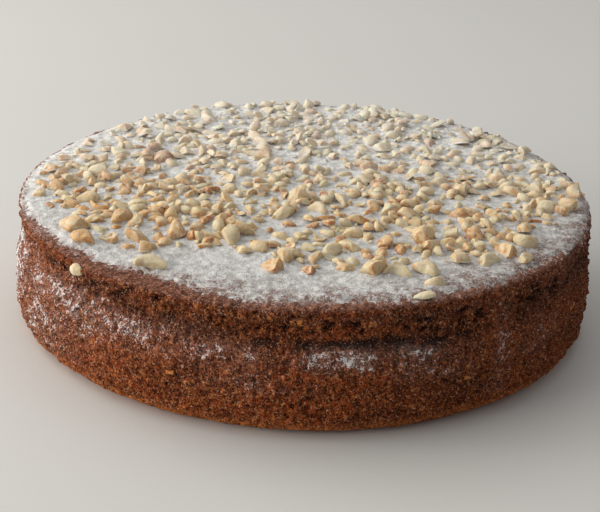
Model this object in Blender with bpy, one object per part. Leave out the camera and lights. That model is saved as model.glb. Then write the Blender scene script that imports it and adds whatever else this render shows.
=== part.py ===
"""A round, uncut carrot cake: one solid of sponge, baked in a tin and turned out.

Run with: blender --background --python part.py

The origin is at the middle of the flat underside, +Z is up, and -Y is the front.
Angles run anticlockwise from +X, as seen from above. The outline of one slice is turned
round the Z axis, and every point is then moved to give the wall its lip, its sunken
waist, its bulging lower half and its lumps, which change from side to side.
"""

import math

import bmesh
import bpy

# Driving dimensions, in metres.
RADIUS = 0.1206
HEIGHT = 0.0518
REST_RADIUS = 0.1125
FOOT_ROUND = 0.0082
RIM_ROUND = 0.0022
BELLY_OUT = 0.0010
BELLY_HEIGHT = 0.015

# How finely the outline is divided.
STEPS_AROUND = 112
FOOT_STEPS = 4
WALL_STEPS = 13
RIM_STEPS = 4
TOP_RINGS = (0.93, 0.84, 0.7, 0.5, 0.25)

# The sunken band under the lip: how far under the top edge, how deep and how tall.
WAIST_DROP = 0.0132
WAIST_DROP_CHANGE = 0.0030
WAIST_LOWEST_AT = math.radians(315)
WAIST_DEPTH = 0.0019
WAIST_DEPTH_CHANGE = 0.0014
WAIST_DEEPEST_AT = math.radians(195)
WAIST_TALL = 0.0075

# The shelf on the front right, where the wall steps out below a crease.
SHELF_AT = math.radians(305)
SHELF_WIDE = math.radians(24)
SHELF_OUT = 0.0016
SHELF_DROP = 0.0045

# The top edge is sharp on the left and a soft shoulder on the right.
SHOULDER_AT = math.radians(345)
SHOULDER_SINK = 0.0004
SHOULDER_REACH = 0.020

# The top leans a little, by this much per metre towards +X.
TOP_LEAN = 0.0098

# Low lumps run all over. On the wall they die out towards its foot and its top edge.
CALM_AT_EDGES = 0.8
WALL_LUMPS = (
    # (waves round the cake, waves up the wall, height of the lump, where it starts)
    (3, 0.6, 0.00035, 0.4),
    (5, 1.3, 0.00040, 2.1),
    (9, 0.9, 0.00040, 1.2),
    (14, 1.7, 0.00035, 5.0),
    (23, 1.1, 0.00030, 3.3),
)
TOP_LUMPS = (
    # (waves per radius along X, the same along Y, height of the lump, where it starts)
    (0.25, 0.15, 0.00035, 0.9),
    (0.60, -0.50, 0.00030, 2.6),
    (-1.50, 1.20, 0.00025, 4.4),
)

CRUST_COLOUR = (0.115, 0.045, 0.022, 1.0)
CRUST_ROUGHNESS = 0.85


def bell(distance, width):
    """A smooth bump: 1 in the middle, a seventh at one width away, then soon nothing."""
    return math.exp(-((distance / width) ** 2) * 2.0)


def turn_between(first, second):
    """The angle from one direction to another, between minus and plus half a turn."""
    return math.atan2(math.sin(first - second), math.cos(first - second))


def arc(centre_x, centre_z, radius, start, end, steps):
    """Points along a quarter of a circle, from one angle to another."""
    turns = [start + (end - start) * i / steps for i in range(steps + 1)]
    return [
        (centre_x + radius * math.cos(turn), centre_z + radius * math.sin(turn))
        for turn in turns
    ]


def slice_outline():
    """Half of the cake cut through its middle: from the underside out, up and back in."""
    foot = arc(RADIUS - FOOT_ROUND, FOOT_ROUND, FOOT_ROUND, -math.pi / 2, 0, FOOT_STEPS)
    foot[0] = (REST_RADIUS, 0.0)
    wall_start = FOOT_ROUND
    wall_end = HEIGHT - RIM_ROUND
    wall = [
        (RADIUS, wall_start + (wall_end - wall_start) * i / WALL_STEPS)
        for i in range(1, WALL_STEPS)
    ]
    rim = arc(RADIUS - RIM_ROUND, wall_end, RIM_ROUND, 0, math.pi / 2, RIM_STEPS)
    top = [(RADIUS * share, HEIGHT) for share in TOP_RINGS]
    return foot + wall + rim + top + [(0.0, HEIGHT)]


def wall_offset(angle, height):
    """How far the wall stands out from the tin's radius, at an angle and a height."""
    up = height / HEIGHT
    below = HEIGHT - height
    belly = BELLY_OUT * bell(height - BELLY_HEIGHT, HEIGHT / 2)
    drop = WAIST_DROP + WAIST_DROP_CHANGE * math.cos(angle - WAIST_LOWEST_AT)
    depth = WAIST_DEPTH + WAIST_DEPTH_CHANGE * math.cos(angle - WAIST_DEEPEST_AT)
    waist = depth * bell(below - drop, WAIST_TALL if below > drop else drop)
    shelf_share = bell(turn_between(angle, SHELF_AT), SHELF_WIDE)
    shelf = SHELF_OUT * shelf_share * bell(below - drop - SHELF_DROP, WAIST_TALL)
    lumps = sum(
        size * math.sin(around * angle + math.tau * rising * up + start)
        for around, rising, size, start in WALL_LUMPS
    )
    calm = 1.0 - CALM_AT_EDGES * (2.0 * up - 1.0) ** 2
    return belly - waist + shelf + calm * lumps


def top_offset(x, y):
    """How far the top stands above or below its level, at a place on it."""
    lean = TOP_LEAN * x
    lumps = sum(
        size * math.sin(math.tau * (along_x * x + along_y * y) / RADIUS + start)
        for along_x, along_y, size, start in TOP_LUMPS
    )
    to_edge = RADIUS - math.hypot(x, y)
    soft = 0.5 + 0.5 * math.cos(math.atan2(y, x) - SHOULDER_AT)
    shoulder = SHOULDER_SINK * soft * bell(max(0.0, to_edge), SHOULDER_REACH)
    return lean + lumps - shoulder


def shape_point(point):
    """Moves one point of the turned outline to its place on the uneven cake."""
    x, y, z = point
    if z <= 0.0:
        return x, y, z
    reach = math.hypot(x, y)
    angle = math.atan2(y, x)
    near_wall = (reach / RADIUS) ** 4
    grown = reach + near_wall * wall_offset(angle, z)
    lifted = z + (z / HEIGHT) ** 2 * top_offset(x, y)
    return grown * math.cos(angle), grown * math.sin(angle), lifted


def cake_mesh():
    """Turns the outline round the Z axis, closes it and shapes it."""
    mesh = bpy.data.meshes.new("cake")
    shape = bmesh.new()
    points = [shape.verts.new((x, 0.0, z)) for x, z in slice_outline()]
    edges = [shape.edges.new(pair) for pair in zip(points, points[1:])]
    bmesh.ops.spin(
        shape,
        geom=points + edges,
        cent=(0.0, 0.0, 0.0),
        axis=(0.0, 0.0, 1.0),
        angle=math.tau,
        steps=STEPS_AROUND,
    )
    bmesh.ops.remove_doubles(shape, verts=shape.verts[:], dist=1e-6)
    underside = [edge for edge in shape.edges if edge.is_boundary]
    bmesh.ops.edgeloop_fill(shape, edges=underside)
    for vert in shape.verts:
        vert.co = shape_point(vert.co)
    bmesh.ops.recalc_face_normals(shape, faces=shape.faces[:])
    shape.to_mesh(mesh)
    shape.free()
    mesh.shade_smooth()
    mesh.set_sharp_from_angle(angle=math.radians(50))
    return mesh


def crust_material():
    """Dark brown baked sponge."""
    material = bpy.data.materials.new("crust")
    material.use_nodes = True
    surface = material.node_tree.nodes["Principled BSDF"]
    surface.inputs["Base Color"].default_value = CRUST_COLOUR
    surface.inputs["Roughness"].default_value = CRUST_ROUGHNESS
    surface.inputs["Metallic"].default_value = 0.0
    return material


def main():
    for item in list(bpy.data.objects):
        bpy.data.objects.remove(item, do_unlink=True)
    cake = bpy.data.objects.new("cake", cake_mesh())
    cake.data.materials.append(crust_material())
    bpy.context.collection.objects.link(cake)


main()
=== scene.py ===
import math
import random

import bmesh
import bpy
from mathutils import Euler, Matrix, Vector, noise
from mathutils.bvhtree import BVHTree
from mathutils.kdtree import KDTree


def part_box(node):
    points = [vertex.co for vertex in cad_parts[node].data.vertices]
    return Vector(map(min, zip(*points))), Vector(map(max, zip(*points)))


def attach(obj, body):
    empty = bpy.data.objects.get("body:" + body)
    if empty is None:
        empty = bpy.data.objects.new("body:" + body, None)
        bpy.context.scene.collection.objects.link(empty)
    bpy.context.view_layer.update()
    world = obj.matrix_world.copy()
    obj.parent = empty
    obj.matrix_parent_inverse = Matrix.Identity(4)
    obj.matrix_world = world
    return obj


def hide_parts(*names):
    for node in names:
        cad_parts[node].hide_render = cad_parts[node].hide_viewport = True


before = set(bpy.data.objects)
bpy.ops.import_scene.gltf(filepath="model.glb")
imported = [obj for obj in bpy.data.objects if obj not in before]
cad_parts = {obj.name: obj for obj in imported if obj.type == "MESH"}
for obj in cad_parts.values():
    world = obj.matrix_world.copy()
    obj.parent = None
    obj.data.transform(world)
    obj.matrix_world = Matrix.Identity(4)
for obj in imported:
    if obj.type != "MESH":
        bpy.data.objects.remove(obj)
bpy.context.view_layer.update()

# ------------------------------------------------------------------------------------
# The sponge: one round of dark carrot crumb, turned out of its tin. A cylinder is
# bevelled at its foot and top edge and divided, drawn onto the frame's solid, and then
# given the lumps, torn pores and fine holes of a baked wall.

cad_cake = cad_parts["cake"]
cake_low, cake_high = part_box("cake")
bulge = 0.0015
cake_radius = (cake_high.x - cake_low.x) / 2 - bulge
top_middle = cad_cake.ray_cast(Vector((0, 0, 1)), Vector((0, 0, -1)))[1].z
foot_round = 0.008
rim_round = 0.0024
columns = 960
wall_rows = 52
crust_rings = 14
ring_width = 0.0009
core_sink = 0.002
foot_edge = 0.0004

# The roughness of the wall, in metres: how wide each kind of lump or hole is, and how
# far it stands out or goes in.
lump_size, lump_height = 0.013, 0.0018
knob_size, knob_height = 0.0034, 0.0019
crumb_size, crumb_height = 0.0015, 0.0014
pore_size = 0.0030
wide_pore_size = 0.0085
tear_size = 0.0060
pit_depth = 0.0030

# The torn band lies under the lip, and a crease runs below it on the front right.
torn_band_drop, torn_band_tall = 0.0085, 0.0060
crease_drop, crease_tall = 0.0155, 0.0026
crease_bearing, crease_wide = 283, 32


def pick(piece, kind, wanted):
    """In edit mode, selects the edges or faces of a piece that pass a test."""
    bpy.ops.mesh.select_mode(type=kind)
    bpy.ops.mesh.select_all(action="DESELECT")
    shape = bmesh.from_edit_mesh(piece.data)
    for part in shape.edges if kind == "EDGE" else shape.faces:
        if wanted(part):
            part.select_set(True)
    shape.select_flush_mode()
    bmesh.update_edit_mesh(piece.data)


def heights(edge):
    """The lower and the higher end of an edge."""
    return sorted(vert.co.z for vert in edge.verts)


def weigh(piece, name, weight_at):
    """Gives a piece a vertex group whose weight follows a rule of place and direction."""
    group = piece.vertex_groups.new(name=name)
    for vert in piece.data.vertices:
        group.add([vert.index], weight_at(vert.co, vert.normal), "REPLACE")


def apply_modifier(piece, kind, **settings):
    """Adds one modifier to a piece and applies it."""
    modifier = piece.modifiers.new(kind.lower(), kind)
    for name, value in settings.items():
        setattr(modifier, name, value)
    bpy.context.view_layer.objects.active = piece
    bpy.ops.object.modifier_apply(modifier=modifier.name)


def rough_texture(name, kind, size, **settings):
    """A procedural texture that a displace modifier reads."""
    texture = bpy.data.textures.new(name, kind)
    texture.noise_scale = size
    for key, value in settings.items():
        setattr(texture, key, value)
    return texture


bpy.ops.object.select_all(action="DESELECT")
bpy.ops.mesh.primitive_cylinder_add(
    vertices=columns,
    radius=cake_radius,
    depth=top_middle,
    end_fill_type="NGON",
    location=(0, 0, top_middle / 2),
)
sponge = bpy.context.object
sponge.name = "sponge"
bpy.ops.object.transform_apply(location=True, rotation=True, scale=True)
bpy.ops.object.mode_set(mode="EDIT")
pick(sponge, "EDGE", lambda edge: heights(edge)[1] < 1e-5)
bpy.ops.mesh.bevel(offset=foot_round, segments=14, profile=0.5, affect="EDGES")
pick(sponge, "EDGE", lambda edge: heights(edge)[0] > top_middle - 1e-5)
bpy.ops.mesh.bevel(offset=rim_round, segments=5, profile=0.5, affect="EDGES")
pick(sponge, "EDGE", lambda edge: heights(edge)[1] - heights(edge)[0] > 0.02)
bpy.ops.mesh.subdivide(number_cuts=wall_rows)
pick(sponge, "FACE", lambda face: face.normal.z > 0.9 and len(face.verts) > 4)
for ring in range(crust_rings):
    bpy.ops.mesh.inset(thickness=ring_width)
bpy.ops.mesh.inset(thickness=ring_width, depth=-core_sink)
bpy.ops.object.mode_set(mode="OBJECT")

core_radius = cake_radius - rim_round - (crust_rings + 0.5) * ring_width


def ramp(value, low, high):
    """0 below the low value and 1 above the high one, in a straight line between."""
    return min(1.0, max(0.0, (value - low) / (high - low)))


def bend_onto_frame(place, direction):
    """All of the sponge's skin follows the frame, and only its sunken core does not."""
    return 0.0 if Vector(place[:2]).length < core_radius and place.z > 0.001 else 1.0


def above_foot(place, direction):
    """1 on the wall, less on the top edge, and 0 on the flat underside."""
    calm = 0.35 * ramp(direction.z, 0.2, 0.8)
    return ramp(place.z, foot_edge, foot_edge + 0.003) * (1.0 - calm)


weigh(sponge, "skin", bend_onto_frame)
apply_modifier(
    sponge,
    "SHRINKWRAP",
    target=cad_cake,
    wrap_method="NEAREST_SURFACEPOINT",
    vertex_group="skin",
)
weigh(sponge, "rough", above_foot)
apply_modifier(sponge, "SMOOTH", factor=0.5, iterations=14, vertex_group="rough")


def turn(angle, middle):
    """How far an angle in degrees is from another, the short way round."""
    return abs((angle - middle + 180) % 360 - 180)


def bearing(place):
    """The angle in degrees of a place round the cake, anticlockwise from +X."""
    return math.degrees(math.atan2(place.y, place.x)) % 360


def bump(distance, width):
    """1 in the middle, a seventh at one width away, then soon nothing."""
    return math.exp(-2.0 * (distance / width) ** 2)


def lip_at(place, direction):
    """1 on the baked skin of the top edge, which faces up, and 0 on the wall."""
    return ramp(direction.z, 0.25, 0.75) * ramp(place.z, 0.04, 0.045)


def pit_at(place, direction):
    """How deep a pore or a tear is at a point: pores all over, tears under the lip."""
    if place.z < 0.0015:
        return 0.0
    spot = place + noise.noise_vector(place / 0.0022) * 0.0008
    level = Vector((spot.x, spot.y, spot.z * 2.0))
    below = top_middle - place.z
    under_lip = bump(below - torn_band_drop, torn_band_tall)
    pore = ramp(noise.voronoi(spot / pore_size)[0][0], 0.46, 0.10)
    pore *= ramp(noise.noise(place / 0.0055), -0.35, 0.35) * (0.48 + 0.3 * under_lip)
    wide_pore = ramp(noise.voronoi(level / wide_pore_size)[0][0], 0.34, 0.08)
    wide_pore *= ramp(noise.noise(place / 0.018), -0.2, 0.3) * (0.38 + 0.62 * under_lip)
    wander = 0.0012 * noise.noise(place / 0.012)
    crease = bump(below - crease_drop - wander, crease_tall)
    crease *= bump(turn(bearing(place), crease_bearing), crease_wide)
    crease *= 0.75 + 0.7 * noise.noise(place / 0.009)
    tear = ramp(noise.turbulence(level / tear_size, 3, True), 0.48, 0.90)
    tear *= under_lip * 0.95 + 0.12
    deep = max(pore, wide_pore, tear, crease)
    return min(1.0, deep) * (1.0 - 0.50 * lip_at(place, direction))


smooth_wall = [vert.co.copy() for vert in sponge.data.vertices]
baked_skin = [lip_at(vert.co, vert.normal) for vert in sponge.data.vertices]
# The noise that stirs the pores starts from a seed, so they are the same each time.
noise.seed_set(5)
weigh(sponge, "pits", pit_at)
apply_modifier(
    sponge,
    "DISPLACE",
    texture=rough_texture("lumps", "CLOUDS", lump_size, noise_depth=2),
    texture_coords="LOCAL",
    strength=lump_height,
    mid_level=0.5,
    vertex_group="rough",
)
apply_modifier(sponge, "DISPLACE", strength=-pit_depth, mid_level=0.0, vertex_group="pits")
apply_modifier(
    sponge,
    "DISPLACE",
    texture=rough_texture(
        "knobs", "CLOUDS", knob_size, noise_depth=1, noise_type="HARD_NOISE"
    ),
    texture_coords="LOCAL",
    strength=knob_height,
    mid_level=0.4,
    vertex_group="rough",
)
apply_modifier(
    sponge,
    "DISPLACE",
    texture=rough_texture("crumbs", "CLOUDS", crumb_size, noise_depth=1),
    texture_coords="LOCAL",
    strength=crumb_height,
    mid_level=0.5,
    vertex_group="rough",
)
bpy.ops.object.select_all(action="DESELECT")
sponge.select_set(True)
bpy.ops.object.shade_smooth()

# Where sugar dust has settled on the wall: each patch is a bearing in degrees, a height
# as a share of the cake's, how far it reaches each way, and how thick it lies.
dust_patches = [
    (238, 0.62, 22, 0.20, 0.46),
    (222, 0.64, 20, 0.30, 0.58),
    (214, 0.46, 22, 0.38, 0.63),
    (190, 0.44, 24, 0.48, 0.82),
    (208, 0.22, 22, 0.26, 0.60),
    (203, 0.80, 18, 0.20, 0.52),
    (256, 0.58, 14, 0.16, 0.48),
    (283, 0.60, 20, 0.13, 0.78),
    (262, 0.40, 16, 0.12, 0.30),
    (293, 0.50, 12, 0.14, 0.50),
    (309, 0.52, 3.5, 0.60, 0.38),
    (320, 0.48, 11, 0.18, 0.40),
    (20, 0.55, 20, 0.20, 0.50),
    (60, 0.60, 22, 0.14, 0.65),
    (100, 0.55, 18, 0.22, 0.45),
    (140, 0.62, 26, 0.16, 0.70),
]

# Where the crumb is painted darker, told in the same way: mostly painted shade on the
# right, in the crease and in the band under the lip, and partly moister, darker crumb.
shade_and_moist_patches = [
    (328, 0.80, 30, 0.22, 0.85),
    (292, 0.72, 22, 0.16, 0.55),
    (279, 0.70, 24, 0.06, 0.70),
    (332, 0.40, 34, 0.50, 0.36),
    (290, 0.90, 34, 0.09, 0.60),
    (296, 0.35, 16, 0.40, 0.22),
    (250, 0.74, 16, 0.14, 0.60),
    (228, 0.86, 26, 0.10, 0.50),
    (40, 0.75, 40, 0.25, 0.60),
]

# How far out the sugar's white edge lies, as a share of the radius, by bearing in degrees.
sugar_edge = [
    (0, 0.990),
    (90, 0.985),
    (150, 0.995),
    (190, 0.988),
    (204, 0.958),
    (218, 0.942),
    (229, 0.930),
    (240, 0.895),
    (250, 0.922),
    (263, 0.950),
    (277, 0.940),
    (289, 0.966),
    (308, 0.966),
    (318, 0.960),
    (334, 0.980),
    (360, 0.990),
]


def read_round(stops, angle):
    """Reads a value at a bearing, moving smoothly from one stop to the next."""
    for (first, low), (second, high) in zip(stops, stops[1:]):
        if first <= angle <= second:
            part = (angle - first) / (second - first)
            part = part * part * (3 - 2 * part)
            return low + (high - low) * part
    return stops[-1][1]


def fleck(place, size, seed=0.0):
    """A noise from about -1 to 1 whose patches are about that size in metres."""
    return noise.noise(Vector((place.x / size + seed, place.y / size, place.z / size)))


def patch_at(patches, place):
    """How strongly the patches of a table cover a place on the wall."""
    angle = bearing(place)
    share = place.z / top_middle
    return max(
        depth * bump(turn(angle, middle), wide) * bump(share - height, tall)
        for middle, height, wide, tall, depth in patches
    )


def store(piece, name, value_at):
    """Keeps one number for each point of a piece, for its material to read."""
    kept = piece.data.attributes.new(name, "FLOAT", "POINT")
    for vert, value in zip(piece.data.vertices, kept.data):
        value.value = value_at(vert)


def dust_at(vert):
    """How much dust a point of the sponge holds, from its place and its slope."""
    place = vert.co
    settled = patch_at(dust_patches, place)
    settled *= 1.0 + 0.9 * fleck(place, 0.010) + 0.5 * fleck(place, 0.0042, 8.0)
    settled *= min(1.1, max(0.0, 0.70 + 0.8 * vert.normal.z))
    edge = read_round(sugar_edge, bearing(place)) * cake_radius
    outside = Vector(place[:2]).length - edge - 0.0015 * fleck(place, 0.006, 2.0)
    near_sugar = ramp(outside, 0.0065, 0.0) * lip_at(place, vert.normal)
    over_edge = ramp(place.z, top_middle - 0.009, top_middle)
    over_edge *= bump(turn(bearing(place), 358), 40) * 0.50 + 0.08
    over_edge *= 1.0 + 0.5 * fleck(place, 0.0050, 4.0)
    near_sugar *= 0.46 + 0.34 * bump(turn(bearing(place), 188), 26)
    return max(settled, near_sugar**1.2, over_edge)


def shade_and_moist_at(vert):
    """How much painted shade, and partly moist darker crumb, darkens a point."""
    return patch_at(shade_and_moist_patches, vert.co) * (1.0 + 0.5 * fleck(vert.co, 0.012, 5.0))


def hollow_at(vert):
    """How far a point lies inside the smooth wall, in millimetres."""
    start = smooth_wall[vert.index]
    outwards = Vector((start.x, start.y, 0)).normalized()
    return (start - vert.co).dot(outwards) * 1000


store(sponge, "dust", dust_at)
store(sponge, "hollow", hollow_at)
store(sponge, "shade_and_moist", shade_and_moist_at)
store(sponge, "baked", lambda vert: baked_skin[vert.index])


def new_material(name, roughness):
    """A material with its nodes, ready for a colour and a bump."""
    made = bpy.data.materials.new(name)
    made.use_nodes = True
    made.node_tree.nodes["Principled BSDF"].inputs["Roughness"].default_value = roughness
    return made


def add_node(material, kind, inputs=(), **settings):
    """Adds a node, sets it up, and feeds its inputs with values or other outputs."""
    made = material.node_tree.nodes.new(kind)
    for name, value in settings.items():
        setattr(made, name, value)
    for key, value in dict(inputs).items():
        if isinstance(value, bpy.types.NodeSocket):
            material.node_tree.links.new(value, made.inputs[key])
        else:
            made.inputs[key].default_value = value
    return made


def object_place(material):
    """The place of a point on its own object, for every pattern to follow."""
    return add_node(material, "ShaderNodeTexCoord").outputs["Object"]


def kept_number(material, name):
    """A number that was stored with the points of a piece."""
    return add_node(material, "ShaderNodeAttribute", attribute_name=name).outputs["Fac"]


def speckle(material, place, size, detail=3.0, roughness=0.6):
    """A soft noise whose patches are about that size in metres."""
    values = {"Vector": place, "Scale": 1 / size, "Detail": detail, "Roughness": roughness}
    return add_node(material, "ShaderNodeTexNoise", values).outputs["Fac"]


def cells(material, place, size, feature="F1", randomness=1.0):
    """The distance to the middle of the nearest cell, for pores and grains."""
    values = {"Vector": place, "Scale": 1 / size, "Randomness": randomness}
    made = add_node(material, "ShaderNodeTexVoronoi", values, feature=feature)
    return made.outputs["Distance"]


def between(material, value, low, high, to_low=0.0, to_high=1.0):
    """Turns the stretch from low to high of a value into another, softly."""
    values = {0: value, 1: low, 2: high, 3: to_low, 4: to_high}
    made = add_node(material, "ShaderNodeMapRange", values, interpolation_type="SMOOTHSTEP")
    return made.outputs[0]


def sums(material, how, first, second):
    """One sum of two values: ADD, MULTIPLY, SUBTRACT, MAXIMUM and so on."""
    made = add_node(material, "ShaderNodeMath", {0: first, 1: second}, operation=how)
    return made.outputs[0]


def blend_colours(material, share, first, second):
    """A mix of two colours."""
    made = add_node(material, "ShaderNodeMix", {"Factor": share}, data_type="RGBA")
    for socket, value in zip((made.inputs[6], made.inputs[7]), (first, second)):
        if isinstance(value, bpy.types.NodeSocket):
            material.node_tree.links.new(value, socket)
        else:
            socket.default_value = (*value, 1.0)
    return made.outputs[2]


def finish_material(material, colour, height, depth):
    """Feeds the shader with its colour and with a bump of that depth in metres."""
    shader = material.node_tree.nodes["Principled BSDF"]
    bumped = add_node(
        material,
        "ShaderNodeBump",
        {"Height": height, "Strength": 1.0, "Distance": depth},
    )
    material.node_tree.links.new(colour, shader.inputs["Base Color"])
    material.node_tree.links.new(bumped.outputs["Normal"], shader.inputs["Normal"])


# The colours of the crumb, from the painted shade of its deepest holes and shaded parts to
# its baked skin and its dust.
hole_shade = (0.022, 0.006, 0.004)
dark_crumb = (0.122, 0.026, 0.0070)
warm_crumb = (0.186, 0.041, 0.0110)
red_crumb = (0.27, 0.051, 0.0095)
low_crumb, high_crumb = (0.050, 0.015, 0.007), (0.31, 0.074, 0.017)
ridge_colour = (0.42, 0.138, 0.038)
shade_and_moist_colour = (0.070, 0.028, 0.018)
foot_colour = (0.62, 0.190, 0.050)
skin_low, skin_high = (0.080, 0.026, 0.015), (0.27, 0.108, 0.064)
glint_colour = (0.62, 0.40, 0.26)
thin_dust, thick_dust = (0.62, 0.50, 0.47), (0.74, 0.72, 0.70)

crust = new_material("crust", 0.9)
crust.node_tree.nodes["Principled BSDF"].inputs["Specular IOR Level"].default_value = 0.1
place = object_place(crust)
dust = kept_number(crust, "dust")
hollow = kept_number(crust, "hollow")
skin = kept_number(crust, "baked")
shade_and_moist = kept_number(crust, "shade_and_moist")
height_up = add_node(crust, "ShaderNodeSeparateXYZ", {0: place}).outputs["Z"]
crumb = speckle(crust, place, 0.0015, 3.0, 0.65)

# The holes of the crumb are cells whose outlines a noise has torn, and their dark colour
# is painted shade.
stirred = add_node(
    crust, "ShaderNodeTexNoise", {"Vector": place, "Scale": 450.0, "Detail": 2.0}
).outputs["Color"]
torn = add_node(
    crust,
    "ShaderNodeVectorMath",
    {0: stirred, 1: (0.0026, 0.0026, 0.0026), 2: place},
    operation="MULTIPLY_ADD",
).outputs[0]
uneven = sums(crust, "MULTIPLY", speckle(crust, place, 0.0034, 2.0), 0.9)
pores = sums(crust, "ADD", cells(crust, torn, 0.0015), uneven)
pores = between(crust, pores, 0.48, 0.80, 0.15, 1.0)
small_pores = cells(crust, torn, 0.0009)
fine_pores = between(crust, small_pores, 0.12, 0.46, 0.12, 1.0)
holes = sums(crust, "MULTIPLY", pores, fine_pores)
holes = sums(crust, "MAXIMUM", holes, sums(crust, "MULTIPLY", skin, 0.85))

# The crumb changes colour in wide patches, in lumps and on its ridges, and the foot and
# the skin of the top edge are baked to colours of their own.
patches = between(crust, speckle(crust, place, 0.022), 0.35, 0.65)
warm = blend_colours(crust, patches, dark_crumb, warm_crumb)
wide_patches = between(crust, speckle(crust, place, 0.035, 2.0), 0.46, 0.62, 0.0, 0.6)
warm = blend_colours(crust, wide_patches, warm, red_crumb)
foot = between(crust, height_up, 0.0005, 0.008, 0.9, 0.0)
warm = blend_colours(crust, foot, warm, foot_colour)
rubble = speckle(crust, place, 0.0045, 3.0, 0.65)
warm = blend_colours(crust, between(crust, rubble, 0.50, 0.36, 0.0, 0.45), warm, low_crumb)
warm = blend_colours(crust, between(crust, rubble, 0.52, 0.66, 0.0, 0.40), warm, high_crumb)
ridged = between(crust, crumb, 0.48, 0.66, 0.0, 0.85)
ridge = blend_colours(crust, ridged, warm, ridge_colour)
# Painted shade, partly moist darker crumb: the right side, the crease and the band under the lip
# are darkened.
ridge = blend_colours(crust, sums(crust, "MULTIPLY", shade_and_moist, 0.85), ridge, shade_and_moist_colour)
baked = blend_colours(crust, between(crust, crumb, 0.36, 0.62), skin_low, skin_high)
ridge = blend_colours(crust, skin, ridge, baked)
# Painted shade: the pores, and the hollows of the wall the deeper they go, are darkened towards
# near black.
shaded_pores = blend_colours(crust, holes, hole_shade, ridge)
deep = blend_colours(crust, between(crust, hollow, 0.3, 2.1, 0.0, 0.9), shaded_pores, hole_shade)
# Painted glints: fine light specks, partly painted highlights of wet crumb and partly pale grains.
glint = between(crust, speckle(crust, place, 0.0008, 1.0), 0.60, 0.70, 0.0, 0.50)
deep = blend_colours(crust, glint, deep, glint_colour)

# Dust lies in grains on what stands out, over a thin even veil.
grainy = sums(
    crust,
    "ADD",
    between(crust, speckle(crust, place, 0.0007, 1.0), 0.30, 0.70, 0.0, 0.50),
    between(crust, speckle(crust, place, 0.0024, 3.0, 0.65), 0.30, 0.70, 0.0, 0.55),
)
raised = between(crust, hollow, 1.3, 0.2, 0.25, 1.0)
lying = sums(crust, "MULTIPLY", sums(crust, "ADD", dust, grainy), holes)
lying = sums(crust, "MULTIPLY", lying, raised)
dusty = between(crust, lying, 0.86, 1.26, 0.0, 0.85)
veil = sums(crust, "MULTIPLY", sums(crust, "POWER", dust, 1.3), 0.24)
powdery = blend_colours(crust, between(crust, dust, 0.3, 0.9), thin_dust, thick_dust)
dusted = blend_colours(crust, sums(crust, "MAXIMUM", dusty, veil), deep, powdery)
relief = sums(
    crust,
    "ADD",
    sums(crust, "MULTIPLY", holes, 0.7),
    sums(crust, "MULTIPLY", crumb, 0.5),
)
finish_material(crust, dusted, relief, 0.0009)
sponge.data.materials.append(crust)

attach(sponge, "root")

# ------------------------------------------------------------------------------------
# The icing sugar: a thin sifted layer over the top, thickest towards the middle, whose
# ragged edge stops short of the rim at the front. A grid is drawn out to a round sheet,
# laid on the frame's top, heaped by its own thickness and closed underneath.

sugar_cells = 280
sugar_depth = 0.0008
sugar_gap = 0.0014
sheet_sink = 0.003


def rim_stop(angle):
    """How far out the top edge of the frame's solid lies at a bearing."""
    outwards = Vector((math.cos(math.radians(angle)), math.sin(math.radians(angle)), 0))
    start = outwards * 0.2 + Vector((0, 0, top_middle - 0.0035))
    return angle, Vector(cad_cake.ray_cast(start, -outwards)[1][:2]).length


rim_line = [rim_stop(angle) for angle in range(0, 361, 5)]


def inside_edge(place):
    """How far inside the sugar's white edge a place lies, in metres."""
    edge = read_round(sugar_edge, bearing(place)) * cake_radius - place.length
    edge += 0.0022 * fleck(place, 0.011) + 0.0016 * fleck(place, 0.0042, 3.0)
    return edge + 0.0012 * fleck(place, 0.0019, 7.0)


# How far in from its white edge the sugar lies thin, in metres, by bearing in degrees.
thin_reach = [
    (0, 0.010),
    (175, 0.003),
    (222, 0.003),
    (238, 0.005),
    (252, 0.022),
    (272, 0.020),
    (298, 0.024),
    (322, 0.022),
    (342, 0.014),
    (360, 0.010),
]


def inside_rim(place):
    """How far inside the sheet's own round outline a place lies, in metres."""
    return read_round(rim_line, bearing(place)) - sugar_gap - place.length


bpy.ops.object.select_all(action="DESELECT")
bpy.ops.mesh.primitive_grid_add(
    x_subdivisions=sugar_cells, y_subdivisions=sugar_cells, size=2.0
)
sugar = bpy.context.object
sugar.name = "icing_sugar"
for vert in sugar.data.vertices:
    across, along = vert.co.x, vert.co.y
    place = Vector(
        (across * math.sqrt(1 - along**2 / 2), along * math.sqrt(1 - across**2 / 2), 0)
    )
    vert.co = place * (read_round(rim_line, bearing(place)) - sugar_gap)
    vert.co.z = top_middle + 0.01
apply_modifier(
    sugar,
    "SHRINKWRAP",
    target=cad_cake,
    wrap_method="PROJECT",
    use_project_z=True,
    use_negative_direction=True,
    use_positive_direction=False,
)
# The frame's solid has now served both pieces, so the sponge can take its place.
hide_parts("cake")
for vert in sugar.data.vertices:
    flat = Vector((vert.co.x, vert.co.y, 0))
    heaped = 0.00045 * fleck(flat, 0.016, 1.0) + 0.00034 * fleck(flat, 0.0038, 5.0)
    grains = 0.00028 * fleck(flat, 0.0019, 9.0)
    full = sugar_depth + heaped + grains
    at_edge = -0.0010 + ramp(inside_edge(flat), -0.0025, 0.0030) * (full + 0.0010)
    at_rim = -0.0003 + ramp(inside_rim(flat), 0.0, 0.0035) * (full + 0.0003)
    vert.co.z += min(at_edge, at_rim)
bpy.ops.object.mode_set(mode="EDIT")
pick(sugar, "EDGE", lambda edge: edge.is_boundary)
bpy.ops.mesh.extrude_region_move(TRANSFORM_OT_translate={"value": (0, 0, -sheet_sink)})
bpy.ops.transform.resize(
    value=(0.96, 0.96, 0.0), center_override=(0, 0, top_middle - 2 * sheet_sink)
)
bpy.ops.mesh.edge_face_add()
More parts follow.
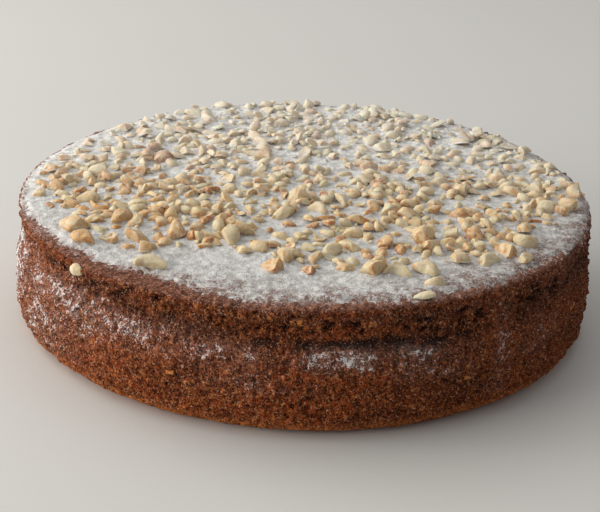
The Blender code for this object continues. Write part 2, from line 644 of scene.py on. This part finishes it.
bpy.ops.mesh.select_all(action="SELECT")
bpy.ops.mesh.normals_make_consistent(inside=False)
bpy.ops.object.mode_set(mode="OBJECT")
bpy.ops.object.shade_smooth()


def thin_at(vert):
    """How thin the sugar lies at a point: 0 in the middle and 1 at its edge."""
    flat = Vector((vert.co.x, vert.co.y, 0))
    return ramp(inside_edge(flat), read_round(thin_reach, bearing(flat)), -0.002)


store(sugar, "thin", thin_at)

# The sugar lies thicker and whiter towards the back, and the crumb shows through it where
# it is thin.
front_sugar, back_sugar = (0.725, 0.715, 0.685), (0.89, 0.875, 0.835)
shaded_sugar = (0.34, 0.332, 0.315)
crumb_through = (0.225, 0.140, 0.112)

powder = new_material("icing_sugar", 0.9)
place = object_place(powder)
thin = kept_number(powder, "thin")
clumps = speckle(powder, place, 0.0030, 3.0, 0.65)
grains = speckle(powder, place, 0.0008, 2.0, 0.7)
drifts = speckle(powder, place, 0.012, 3.0)
streaks = between(powder, speckle(powder, place, 0.0065, 3.0, 0.65), 0.36, 0.62)
further_back = add_node(powder, "ShaderNodeSeparateXYZ", {0: place}).outputs["Y"]
further = between(powder, further_back, -0.06, 0.08)
white = blend_colours(powder, further, front_sugar, back_sugar)
dips = between(powder, clumps, 0.64, 0.36, 0.0, 0.62)
white = blend_colours(powder, dips, white, shaded_sugar)
bare = sums(
    powder,
    "ADD",
    sums(powder, "MULTIPLY", between(powder, drifts, 0.44, 0.68), 0.36),
    sums(
        powder,
        "MULTIPLY",
        sums(powder, "POWER", thin, 1.2),
        sums(powder, "ADD", sums(powder, "MULTIPLY", streaks, 2.0), 0.30),
    ),
)
bare = sums(powder, "MULTIPLY", bare, between(powder, grains, 0.66, 0.38, 0.20, 1.0))
bare = sums(powder, "MULTIPLY", bare, between(powder, clumps, 0.68, 0.40, 0.40, 1.0))
bare = sums(powder, "MINIMUM", bare, 1.0)
sugary = blend_colours(powder, bare, white, crumb_through)
heaps = sums(
    powder,
    "ADD",
    sums(powder, "MULTIPLY", clumps, 0.6),
    sums(powder, "MULTIPLY", grains, 0.5),
)
finish_material(powder, sugary, heaps, 0.0012)
sugar.data.materials.append(powder)

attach(sugar, "root")

# ------------------------------------------------------------------------------------
# The nuts: skinned, toasted kernels, roughly chopped. Each sort has a few shapes, cut by
# planes out of a stretched ball, and every nut on the cake is a copy of one, turned,
# sized and pressed a little into the sugar.

chance = random.Random(41)


def carve_nut(stretch, cuts, hollow=0.0, bend=0.0, fine=False):
    """One chopped nut, 1 long, flat on its underside, with its cut edges broken."""
    bpy.ops.object.select_all(action="DESELECT")
    bpy.ops.mesh.primitive_ico_sphere_add(subdivisions=3 if fine else 2, radius=0.5)
    nut = bpy.context.object
    nut.scale = stretch
    nut.rotation_euler = (0, 0, chance.uniform(-0.3, 0.3))
    bpy.ops.object.transform_apply(location=True, rotation=True, scale=True)
    apply_modifier(
        nut,
        "DISPLACE",
        texture=rough_texture("nut_lumps", "CLOUDS", chance.uniform(0.25, 0.5)),
        texture_coords="LOCAL",
        strength=chance.uniform(0.25, 0.42),
        mid_level=0.5,
    )
    planes = [((0, 0, -0.12 * stretch[2]), (chance.uniform(-0.1, 0.1), 0.05, -1))]
    for cut in range(cuts):
        across = chance.uniform(0, math.tau)
        facing = (math.cos(across), math.sin(across), chance.uniform(-0.4, 1.0))
        deep = chance.uniform(0.34, 0.74) / 2
        planes.append((tuple(deep * way * size for way, size in zip(facing, stretch)), facing))
    if hollow:
        planes.append(((0, 0, 0.12 * stretch[2]), (chance.uniform(-0.3, 0.3), -0.3, 1)))
    bpy.ops.object.mode_set(mode="EDIT")
    for middle, facing in planes:
        bpy.ops.mesh.select_all(action="SELECT")
        bpy.ops.mesh.bisect(
            plane_co=middle, plane_no=facing, use_fill=True, clear_outer=True
        )
    bpy.ops.mesh.select_all(action="SELECT")
    bpy.ops.mesh.remove_doubles(threshold=0.03 if fine else 0.09)
    if hollow:
        shape = bmesh.from_edit_mesh(nut.data)
        widest = max(face.calc_area() for face in shape.faces if face.normal.z > 0.5)
        pick(nut, "FACE", lambda face: face.calc_area() >= widest - 1e-6)
        bpy.ops.mesh.inset(thickness=0.08)
        bpy.ops.mesh.inset(thickness=0.10, depth=-hollow)
    elif fine:
        bpy.ops.mesh.select_mode(type="EDGE")
        bpy.ops.mesh.select_all(action="DESELECT")
        bpy.ops.mesh.edges_select_sharp(sharpness=math.radians(42))
        bpy.ops.mesh.bevel(offset=0.025, segments=2, affect="EDGES", clamp_overlap=True)
    bpy.ops.mesh.select_all(action="SELECT")
    bpy.ops.mesh.remove_doubles(threshold=0.012)
    bpy.ops.mesh.dissolve_limited(angle_limit=math.radians(4))
    bpy.ops.mesh.select_all(action="SELECT")
    bpy.ops.mesh.normals_make_consistent(inside=False)
    bpy.ops.object.mode_set(mode="OBJECT")
    apply_modifier(nut, "SMOOTH", factor=0.45 if fine else 0.35, iterations=3 if fine else 1)
    low = Vector([min(vert.co[axis] for vert in nut.data.vertices) for axis in range(3)])
    high = Vector([max(vert.co[axis] for vert in nut.data.vertices) for axis in range(3)])
    size = max(high.x - low.x, high.y - low.y)
    middle = (low + high) / 2
    for vert in nut.data.vertices:
        vert.co = (vert.co - middle) / size
        vert.co.y += bend * (4 * vert.co.x**2 - 0.5)
    bpy.ops.object.shade_smooth_by_angle(angle=math.radians(58))

    def up_at(vert):
        if hollow and vert.co.xy.length < 0.26 and vert.normal.z > 0.3:
            return 0.0
        return vert.co.z * size / (high.z - low.z) + 0.5

    shape = bmesh.new()
    shape.from_mesh(nut.data)
    sharp = [vert.calc_shell_factor() for vert in shape.verts]
    shape.free()
    store(nut, "up", up_at)
    store(nut, "edge", lambda vert: ramp(sharp[vert.index], 1.03, 1.22))
    store(nut, "tone", lambda vert: 0.0)
    return nut


nut_sorts = {
    "cream": [carve_nut((1.0, 0.80, 0.70), 4) for made in range(9)],
    "golden": [carve_nut((1.0, 0.70, 0.62), 4) for made in range(8)],
    "half": [carve_nut((1.0, 0.84, 0.80), 1) for made in range(3)],
    "wedge": [carve_nut((1.0, 0.46, 0.52), 2, bend=0.20) for made in range(5)],
    "sliver": [carve_nut((1.0, 0.56, 0.34), 3) for made in range(5)],
    "cup": [carve_nut((1.0, 0.84, 0.90), 1, hollow=0.10) for made in range(4)],
    "skin": [carve_nut((1.0, 0.70, 0.36), 2) for made in range(3)],
    "crumb": [carve_nut((1.0, 0.8, 0.7), 3) for made in range(6)],
}
nut_sorts["toasted"] = nut_sorts["golden"]

# The nuts that stand out are larger and fewer, so their shapes are cut more finely.
large_sorts = {
    "cream": [carve_nut((1.0, 0.74, 0.62), 4, fine=True) for made in range(9)],
    "golden": [carve_nut((1.0, 0.70, 0.60), 4, fine=True) for made in range(7)],
    "half": [carve_nut((1.0, 0.78, 0.72), 1, fine=True) for made in range(3)],
    "wedge": [carve_nut((1.0, 0.44, 0.46), 2, bend=0.22, fine=True) for made in range(3)],
    "sliver": [carve_nut((1.0, 0.56, 0.34), 3, fine=True) for made in range(2)],
    "cup": [carve_nut((1.0, 0.80, 0.80), 1, hollow=0.13, fine=True) for made in range(3)],
    "skin": [carve_nut((1.0, 0.70, 0.40), 2, fine=True) for made in range(2)],
}
large_sorts["toasted"] = large_sorts["golden"]

# The nuts that stand out: how far right and back of the middle in millimetres, how
# long in millimetres, and the sort.
known_nuts = [
    (-111, -5, 7.5, "cream"),
    (-90, -3, 7, "golden"),
    (-96, 5, 8, "toasted"),
    (-104, -30, 7, "skin"),
    (-110, -18, 6, "cream"),
    (-101, -17, 8, "cream"),
    (-94, -13, 7, "golden"),
    (-83, -30, 12, "cup"),
    (-73, -45, 12, "half"),
    (-83, -46, 9, "golden"),
    (-90, -53, 11, "cream"),
    (-84, -67, 12, "golden"),
    (-75, -14, 6, "toasted"),
    (-68, -12, 7, "cream"),
    (-65, -39, 6, "cream"),
    (-61, -28, 6, "skin"),
    (-64, -63, 10, "cream"),
    (-59, -73, 8, "cream"),
    (-57, -88, 13, "wedge"),
    (-67, -71, 6, "cream"),
    (-51, -57, 11, "golden"),
    (-43, -58, 8, "toasted"),
    (-36, -57, 9, "sliver"),
    (-28, -61, 11, "cream"),
    (-23, -72, 9, "golden"),
    (-17, -70, 8, "golden"),
    (-8, -34, 11, "half"),
    (-22, -22, 7, "golden"),
    (-9, -57, 8, "cream"),
    (-5, -76, 10, "cream"),
    (-11, -86, 10, "golden"),
    (2, -88, 7, "toasted"),
    (5, -77, 10, "cream"),
    (11, -70, 10, "cream"),
    (18, -65, 11, "cream"),
    (16, -86, 8, "golden"),
    (27, -87, 12, "cream"),
    (36, -89, 13, "wedge"),
    (47, -86, 11, "cream"),
    (49, -97, 9, "cream"),
    (44, -107, 9, "sliver"),
    (60, -76, 8, "golden"),
    (67, -52, 9, "toasted"),
    (68, -63, 7, "cream"),
    (71, -75, 10, "cream"),
    (78, -67, 11, "golden"),
    (87, -57, 11, "cream"),
    (85, -72, 8, "cream"),
    (47, -54, 12, "golden"),
    (58, -50, 9, "cream"),
    (39, -39, 8, "half"),
    (32, -60, 10, "toasted"),
    (108, -16, 10, "golden"),
    (114, 0, 10, "golden"),
    (112, 10, 7, "toasted"),
    (100, -19, 9, "cream"),
    (74, 22, 4, "skin"),
    (-5, 35, 5, "skin"),
    (73, -19, 12, "cup"),
    (44, -19, 10, "golden"),
    (13, 61, 4, "skin"),
    (6, -28, 10, "cream"),
]

# How far out the loose scatter of nuts reaches, in metres, by bearing in degrees.
nut_reach = [
    (0, 0.115),
    (90, 0.116),
    (150, 0.112),
    (182, 0.112),
    (196, 0.108),
    (206, 0.098),
    (218, 0.100),
    (230, 0.090),
    (240, 0.082),
    (253, 0.072),
    (263, 0.078),
    (275, 0.082),
    (290, 0.086),
    (302, 0.094),
    (318, 0.098),
    (332, 0.100),
    (345, 0.107),
    (360, 0.115),
]
nut_total = 800
stacked_total = 90
crumb_total = 420
nut_circle, crumb_circle = 0.116, 0.118
pressed_in = 0.20
laid = {}
taken = []
sugar_skin = BVHTree.FromObject(sugar, bpy.context.evaluated_depsgraph_get())
sponge_skin = BVHTree.FromObject(sponge, bpy.context.evaluated_depsgraph_get())


def copy_shape(sort, shapes):
    """A copy of one of a sort's shapes, with its own mesh and its own tone."""
    shape = chance.choice(shapes[sort])
    nut = shape.copy()
    nut.data = shape.data.copy()
    tone = chance.random()
    for value in nut.data.attributes["tone"].data:
        value.value = tone
    bpy.context.collection.objects.link(nut)
    laid.setdefault(sort, []).append(nut)
    return nut


def lay_nut(sort, x, y, length, tip=0.0, extra=0.0, shapes=nut_sorts):
    """Lays a nut on the sugar, turned, leaned and pressed in a little."""
    nut = copy_shape(sort, shapes)
    lean = Euler((chance.uniform(-tip, tip), chance.uniform(-tip, tip), 0))
    spin = Matrix.Rotation(chance.uniform(0, math.tau), 4, "Z")
    tall = chance.uniform(0.88, 1.15) if shapes is large_sorts else chance.uniform(0.60, 1.0)
    tall *= 1.0 - 0.25 * ramp(y, 0.0, 0.07)
    squeeze = Matrix.Diagonal((length, length * chance.uniform(0.8, 1.1), length * tall, 1))
    nut.data.transform(spin @ lean.to_matrix().to_4x4() @ squeeze)
    low = min(vert.co.z for vert in nut.data.vertices)
    high = max(vert.co.z for vert in nut.data.vertices)
    ground = sugar_skin.ray_cast(Vector((x, y, 0.1)), Vector((0, 0, -1)))[0].z
    rest = ground - pressed_in * (high - low) - low + extra
    nut.data.transform(Matrix.Translation((x, y, rest)))
    taken.append((x, y, length))


def stick_in_wall(piece, angle, height, length, deep):
    """Sticks a piece into the wall at a bearing and a height, its top facing outwards."""
    away = Vector((math.cos(math.radians(angle)), math.sin(math.radians(angle)), 0))
    start = away * 0.2 + Vector((0, 0, height))
    wall = sponge_skin.ray_cast(start, -away)[0]
    along = Vector((-away.y, away.x, 0))
    facing = Matrix((along, Vector((0, 0, -1)), away)).transposed().to_4x4()
    piece.data.transform(Matrix.Translation(wall - away * deep) @ facing @ Matrix.Scale(length, 4))


for x, y, length, sort in known_nuts:
    lay_nut(sort, x / 1000, y / 1000, 0.95 * length / 1000, tip=0.2, shapes=large_sorts)

# One half nut sticks to the wall, high on the front left.
stick_in_wall(
    copy_shape("half", large_sorts), angle=225, height=0.0476, length=0.0064, deep=-0.0008
)

# The loose scatter: how many of each sort there are among it.
sort_shares = {
    "cream": 0.34,
    "golden": 0.28,
    "toasted": 0.05,
    "wedge": 0.10,
    "sliver": 0.09,
    "half": 0.03,
    "cup": 0.07,
    "skin": 0.015,
}
while len(taken) < nut_total:
    out = nut_circle * math.sqrt(chance.random())
    angle = chance.uniform(0, 360)
    if out > read_round(nut_reach, angle):
        continue
    x = out * math.cos(math.radians(angle))
    y = out * math.sin(math.radians(angle))
    length = 0.001 * chance.triangular(3.6, 10.0, 6.0)
    crowd = 0.35 + 0.26 * noise.noise(Vector((x, y, 0)) * 45)
    if any(
        math.hypot(x - other_x, y - other_y) < crowd * (length + other_length)
        for other_x, other_y, other_length in taken
    ):
        continue
    sort = chance.choices(list(sort_shares), list(sort_shares.values()))[0]
    if sort == "skin":
        length *= 0.6
    lay_nut(sort, x, y, length, tip=0.35)

# A few nuts lie half on others, and fine chopped crumbs lie between them.
for x, y, length in chance.sample(taken[len(known_nuts) :], stacked_total):
    angle = chance.uniform(0, math.tau)
    x += 0.55 * length * math.cos(angle)
    y += 0.55 * length * math.sin(angle)
    sort = chance.choice(["cream", "golden", "cream", "wedge"])
    lay_nut(sort, x, y, chance.uniform(0.004, 0.007), tip=0.7, extra=0.0013)
for crumb_laid in range(crumb_total):
    out = crumb_circle * math.sqrt(chance.random())
    angle = chance.uniform(0, 360)
    if out > read_round(nut_reach, angle) + 0.004 * chance.random():
        continue
    x = out * math.cos(math.radians(angle))
    y = out * math.sin(math.radians(angle))
    lay_nut("crumb", x, y, 0.001 * chance.triangular(1.2, 3.8, 2.0), tip=0.9)


def join_pieces(name, parts):
    """Joins the copies of a sort into one piece with that name."""
    bpy.ops.object.select_all(action="DESELECT")
    for part in parts:
        part.select_set(True)
    bpy.context.view_layer.objects.active = parts[0]
    bpy.ops.object.join()
    joined = bpy.context.object
    joined.name = name
    joined.data.name = name
    return joined


left_amber = (0.53, 0.245, 0.050)
nut_dust = (0.76, 0.735, 0.665)


def nut_material(name, pale, golden, brown, toast):
    """Nut flesh: pale where it was cut, toasted in patches, and darker towards its underside,
    which is partly toasting and partly painted shade.
    """
    flesh = new_material(name, 0.5)
    shader = flesh.node_tree.nodes["Principled BSDF"]
    shader.inputs["Specular IOR Level"].default_value = 0.35
    shader.inputs["Subsurface Weight"].default_value = 0.5
    shader.inputs["Subsurface Radius"].default_value = (0.0030, 0.0018, 0.0009)
    shader.inputs["Subsurface Scale"].default_value = 1.0
    place = object_place(flesh)
    up = kept_number(flesh, "up")
    tone = kept_number(flesh, "tone")
    edge = kept_number(flesh, "edge")
    blotch = between(flesh, speckle(flesh, place, 0.0027, 2.0), 0.28, 0.72)
    fine = speckle(flesh, place, 0.0011, 3.0)
    # Darker towards each nut's underside: partly toasting, partly painted shade.
    low = sums(flesh, "MULTIPLY", between(flesh, up, 0.70, 0.05), 0.36)
    toasted = sums(
        flesh,
        "ADD",
        sums(flesh, "ADD", sums(flesh, "MULTIPLY", blotch, 1.1), low),
        sums(
            flesh,
            "ADD",
            sums(flesh, "MULTIPLY", tone, 0.45),
            sums(flesh, "MULTIPLY", edge, 0.30),
        ),
    )
    turned = between(flesh, toasted, 0.88 - toast, 1.30 - toast)
    body = blend_colours(flesh, turned, pale, golden)
    browned = between(flesh, toasted, 1.22 - toast, 1.60 - toast)
    body = blend_colours(flesh, browned, body, brown)

    # Towards the left the nuts are painted amber, some more than others, and towards the back
    # more sugar lies on them.
    on_top = add_node(flesh, "ShaderNodeSeparateXYZ", {0: place})
    amber = sums(flesh, "ADD", tone, sums(flesh, "MULTIPLY", blotch, 0.5))
    amber_on_left = sums(
        flesh,
        "MULTIPLY",
        between(flesh, on_top.outputs["X"], -0.025, -0.080, 0.12, 0.62),
        between(flesh, amber, 0.45, 1.0),
    )
    body = blend_colours(flesh, amber_on_left, body, left_amber)
    powdered = sums(
        flesh,
        "ADD",
        between(flesh, fine, 0.42, 0.66, 0.0, 0.34),
        between(flesh, up, 0.36, 0.10, 0.0, 0.25),
    )
    snowed = between(flesh, on_top.outputs["Y"], -0.05, 0.09, 0.0, 0.46)
    powdered = sums(flesh, "MINIMUM", sums(flesh, "ADD", powdered, snowed), 0.8)
    grain = blend_colours(flesh, powdered, body, nut_dust)
    finish_material(flesh, grain, fine, 0.00035)
    return flesh


cream_flesh = nut_material(
    "nut_cream", (0.655, 0.550, 0.340), (0.645, 0.470, 0.235), (0.55, 0.30, 0.115), -0.06
)
golden_flesh = nut_material(
    "nut_golden", (0.645, 0.510, 0.290), (0.61, 0.395, 0.170), (0.50, 0.235, 0.080), 0.06
)
toasted_flesh = nut_material(
    "nut_toasted", (0.62, 0.42, 0.20), (0.54, 0.26, 0.085), (0.36, 0.12, 0.035), 0.26
)
dark_skin = nut_material(
    "nut_skin", (0.26, 0.14, 0.09), (0.15, 0.065, 0.045), (0.07, 0.030, 0.020), 0.2
)

for sort, name, flesh, slot in (
    ("cream", "nuts_cream", cream_flesh, "nut"),
    ("golden", "nuts_golden", golden_flesh, "toasted_nut"),
    ("toasted", "nuts_toasted", toasted_flesh, "toasted_nut"),
    ("wedge", "nut_wedges", cream_flesh, "nut"),
    ("sliver", "nut_slivers", cream_flesh, "nut"),
    ("half", "nut_halves", cream_flesh, "nut"),
    ("cup", "nut_cups", golden_flesh, "toasted_nut"),
    ("skin", "nut_skins", dark_skin, "nut_skin"),
    ("crumb", "nut_crumbs", golden_flesh, "toasted_nut"),
):
    piece = join_pieces(name, laid[sort])
    piece.data.materials.append(flesh)
    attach(piece, "root")

for shapes in (nut_sorts, large_sorts):
    for sort in shapes:
        if sort != "toasted":
            for shape in shapes[sort]:
                bpy.data.objects.remove(shape)

# Sugar gathers against the nuts, so the sheet rises a little round each one.
gather_height, gather_reach = 0.0004, 0.0016
nut_places = KDTree(len(taken))
for index, (x, y, length) in enumerate(taken):
    nut_places.insert((x, y, 0), index)
nut_places.balance()
for vert in sugar.data.vertices:
    flat = Vector((vert.co.x, vert.co.y, 0))
    index, away = nut_places.find(flat)[1:]
    foot = 0.34 * taken[index][2]
    rise = gather_height * ramp(away, foot + gather_reach, foot)
    rise *= 1.0 + 0.5 * fleck(flat, 0.0022, 6.0)
    vert.co.z += rise * ramp(inside_rim(flat), 0.001, 0.004)

# ------------------------------------------------------------------------------------
# The carrot: a few shreds of the grated root show in the torn wall, baked to a dull
# orange. Each is a bevelled bar, bent and roughened, and sunk in the sponge.

# Each shred: a bearing in degrees, a height and a length in metres.
carrot_places = [
    (269.5, 0.0462, 0.0075),
    (264.5, 0.0470, 0.0040),
    (282.0, 0.0455, 0.0055),
    (247.0, 0.0200, 0.0038),
    (301.0, 0.0190, 0.0042),
    (334.0, 0.0270, 0.0045),
    (28.0, 0.0410, 0.0060),
    (75.0, 0.0240, 0.0050),
    (118.0, 0.0440, 0.0065),
    (163.0, 0.0300, 0.0045),
]
shreds = []
for angle, height, length in carrot_places:
    bpy.ops.object.select_all(action="DESELECT")
    bpy.ops.mesh.primitive_cube_add(size=1.0)
    shred = bpy.context.object
    shred.scale = (1.0, 0.42, 0.34)
    bpy.ops.object.transform_apply(location=True, rotation=True, scale=True)
    bpy.ops.object.mode_set(mode="EDIT")
    bpy.ops.mesh.select_all(action="SELECT")
    bpy.ops.mesh.bevel(offset=0.07, segments=2, affect="EDGES")
    bpy.ops.mesh.select_all(action="SELECT")
    bpy.ops.mesh.subdivide(number_cuts=2)
    bpy.ops.object.mode_set(mode="OBJECT")
    apply_modifier(
        shred,
        "DISPLACE",
        texture=rough_texture("shred_lumps", "CLOUDS", 0.25 + 0.02 * len(shreds)),
        texture_coords="LOCAL",
        strength=0.30,
        mid_level=0.5,
    )
    curl = chance.uniform(-0.3, 0.3)
    for vert in shred.data.vertices:
        vert.co.y += curl * vert.co.x**2
        vert.co.z -= 0.35 * vert.co.x**2
    bpy.ops.object.shade_smooth()
    stick_in_wall(shred, angle, height, length, 0.07 * length)
    shreds.append(shred)
carrot = join_pieces("carrot_shreds", shreds)
root = new_material("carrot", 0.6)
place = object_place(root)
fibres = speckle(root, place, 0.0012, 3.0, 0.65)
scorched = between(root, speckle(root, place, 0.0030, 2.0), 0.40, 0.62)
orange = blend_colours(root, fibres, (0.44, 0.130, 0.016), (0.74, 0.270, 0.035))
orange = blend_colours(root, scorched, orange, (0.26, 0.080, 0.020))
finish_material(root, orange, fibres, 0.0005)
carrot.data.materials.append(root)
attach(carrot, "root")

# ------------------------------------------------------------------------------------
# The floor, the light and the camera. The floor is a wide plain painted sheet. Two large
# soft windows stand on the left, one behind the cake and one before it, and the ceiling
# and the room give a weak even fill.

bpy.ops.object.select_all(action="DESELECT")
bpy.ops.mesh.primitive_plane_add(size=8.0, location=(0, 0, -0.0004))
floor = bpy.context.object
floor.name = "floor"
bpy.ops.object.transform_apply(location=True, rotation=True, scale=True)
painted = new_material("painted_floor", 0.7)
floor_place = object_place(painted)
cloudy = speckle(painted, floor_place, 0.35, 2.0)
pale = blend_colours(painted, cloudy, (0.60, 0.585, 0.55), (0.64, 0.625, 0.59))
finish_material(painted, pale, speckle(painted, floor_place, 0.002, 3.0), 0.00005)
floor.data.materials.append(painted)

scene = bpy.context.scene
scene.view_settings.view_transform = "Standard"


def add_light(name, place, size, power, colour, target=(0, 0, 0.03)):
    """A square soft light that looks at the cake."""
    lamp = bpy.data.lights.new(name, "AREA")
    lamp.shape = "RECTANGLE"
    lamp.size, lamp.size_y = size
    lamp.energy = power
    lamp.color = colour
    holder = bpy.data.objects.new(name, lamp)
    holder.location = place
    facing = Vector(target) - Vector(place)
    holder.rotation_euler = facing.to_track_quat("-Z", "Y").to_euler()
    scene.collection.objects.link(holder)


add_light("window", (-1.15, 0.40, 0.75), (1.3, 1.0), 11.5, (1.0, 0.985, 0.96))
add_light("side_window", (-1.10, -0.45, 0.35), (0.9, 0.6), 10.5, (1.0, 0.97, 0.93))
add_light("ceiling", (-0.20, 0.50, 1.30), (1.8, 1.4), 7.0, (1.0, 0.99, 0.97))
world = bpy.data.worlds.new("room")
world.use_nodes = True
world.node_tree.nodes["Background"].inputs["Color"].default_value = (0.97, 0.98, 1.0, 1)
world.node_tree.nodes["Background"].inputs["Strength"].default_value = 0.33
scene.world = world

look_at = Vector((-0.001, 0.0, 0.0208))
look_from = 0.672
look_down = math.radians(23.2)
look_roll = math.radians(2.32)
camera_data = bpy.data.cameras.new("camera")
camera_data.lens = 93.2
camera_data.sensor_width = 36.0
camera_data.clip_start = 0.01
camera = bpy.data.objects.new("camera", camera_data)
away = Vector((0.0, -math.cos(look_down), math.sin(look_down)))
camera.location = look_at + look_from * away
tilt = Matrix.Rotation(math.pi / 2 - look_down, 4, "X") @ Matrix.Rotation(look_roll, 4, "Z")
camera.rotation_euler = tilt.to_euler()
scene.collection.objects.link(camera)
scene.camera = camera
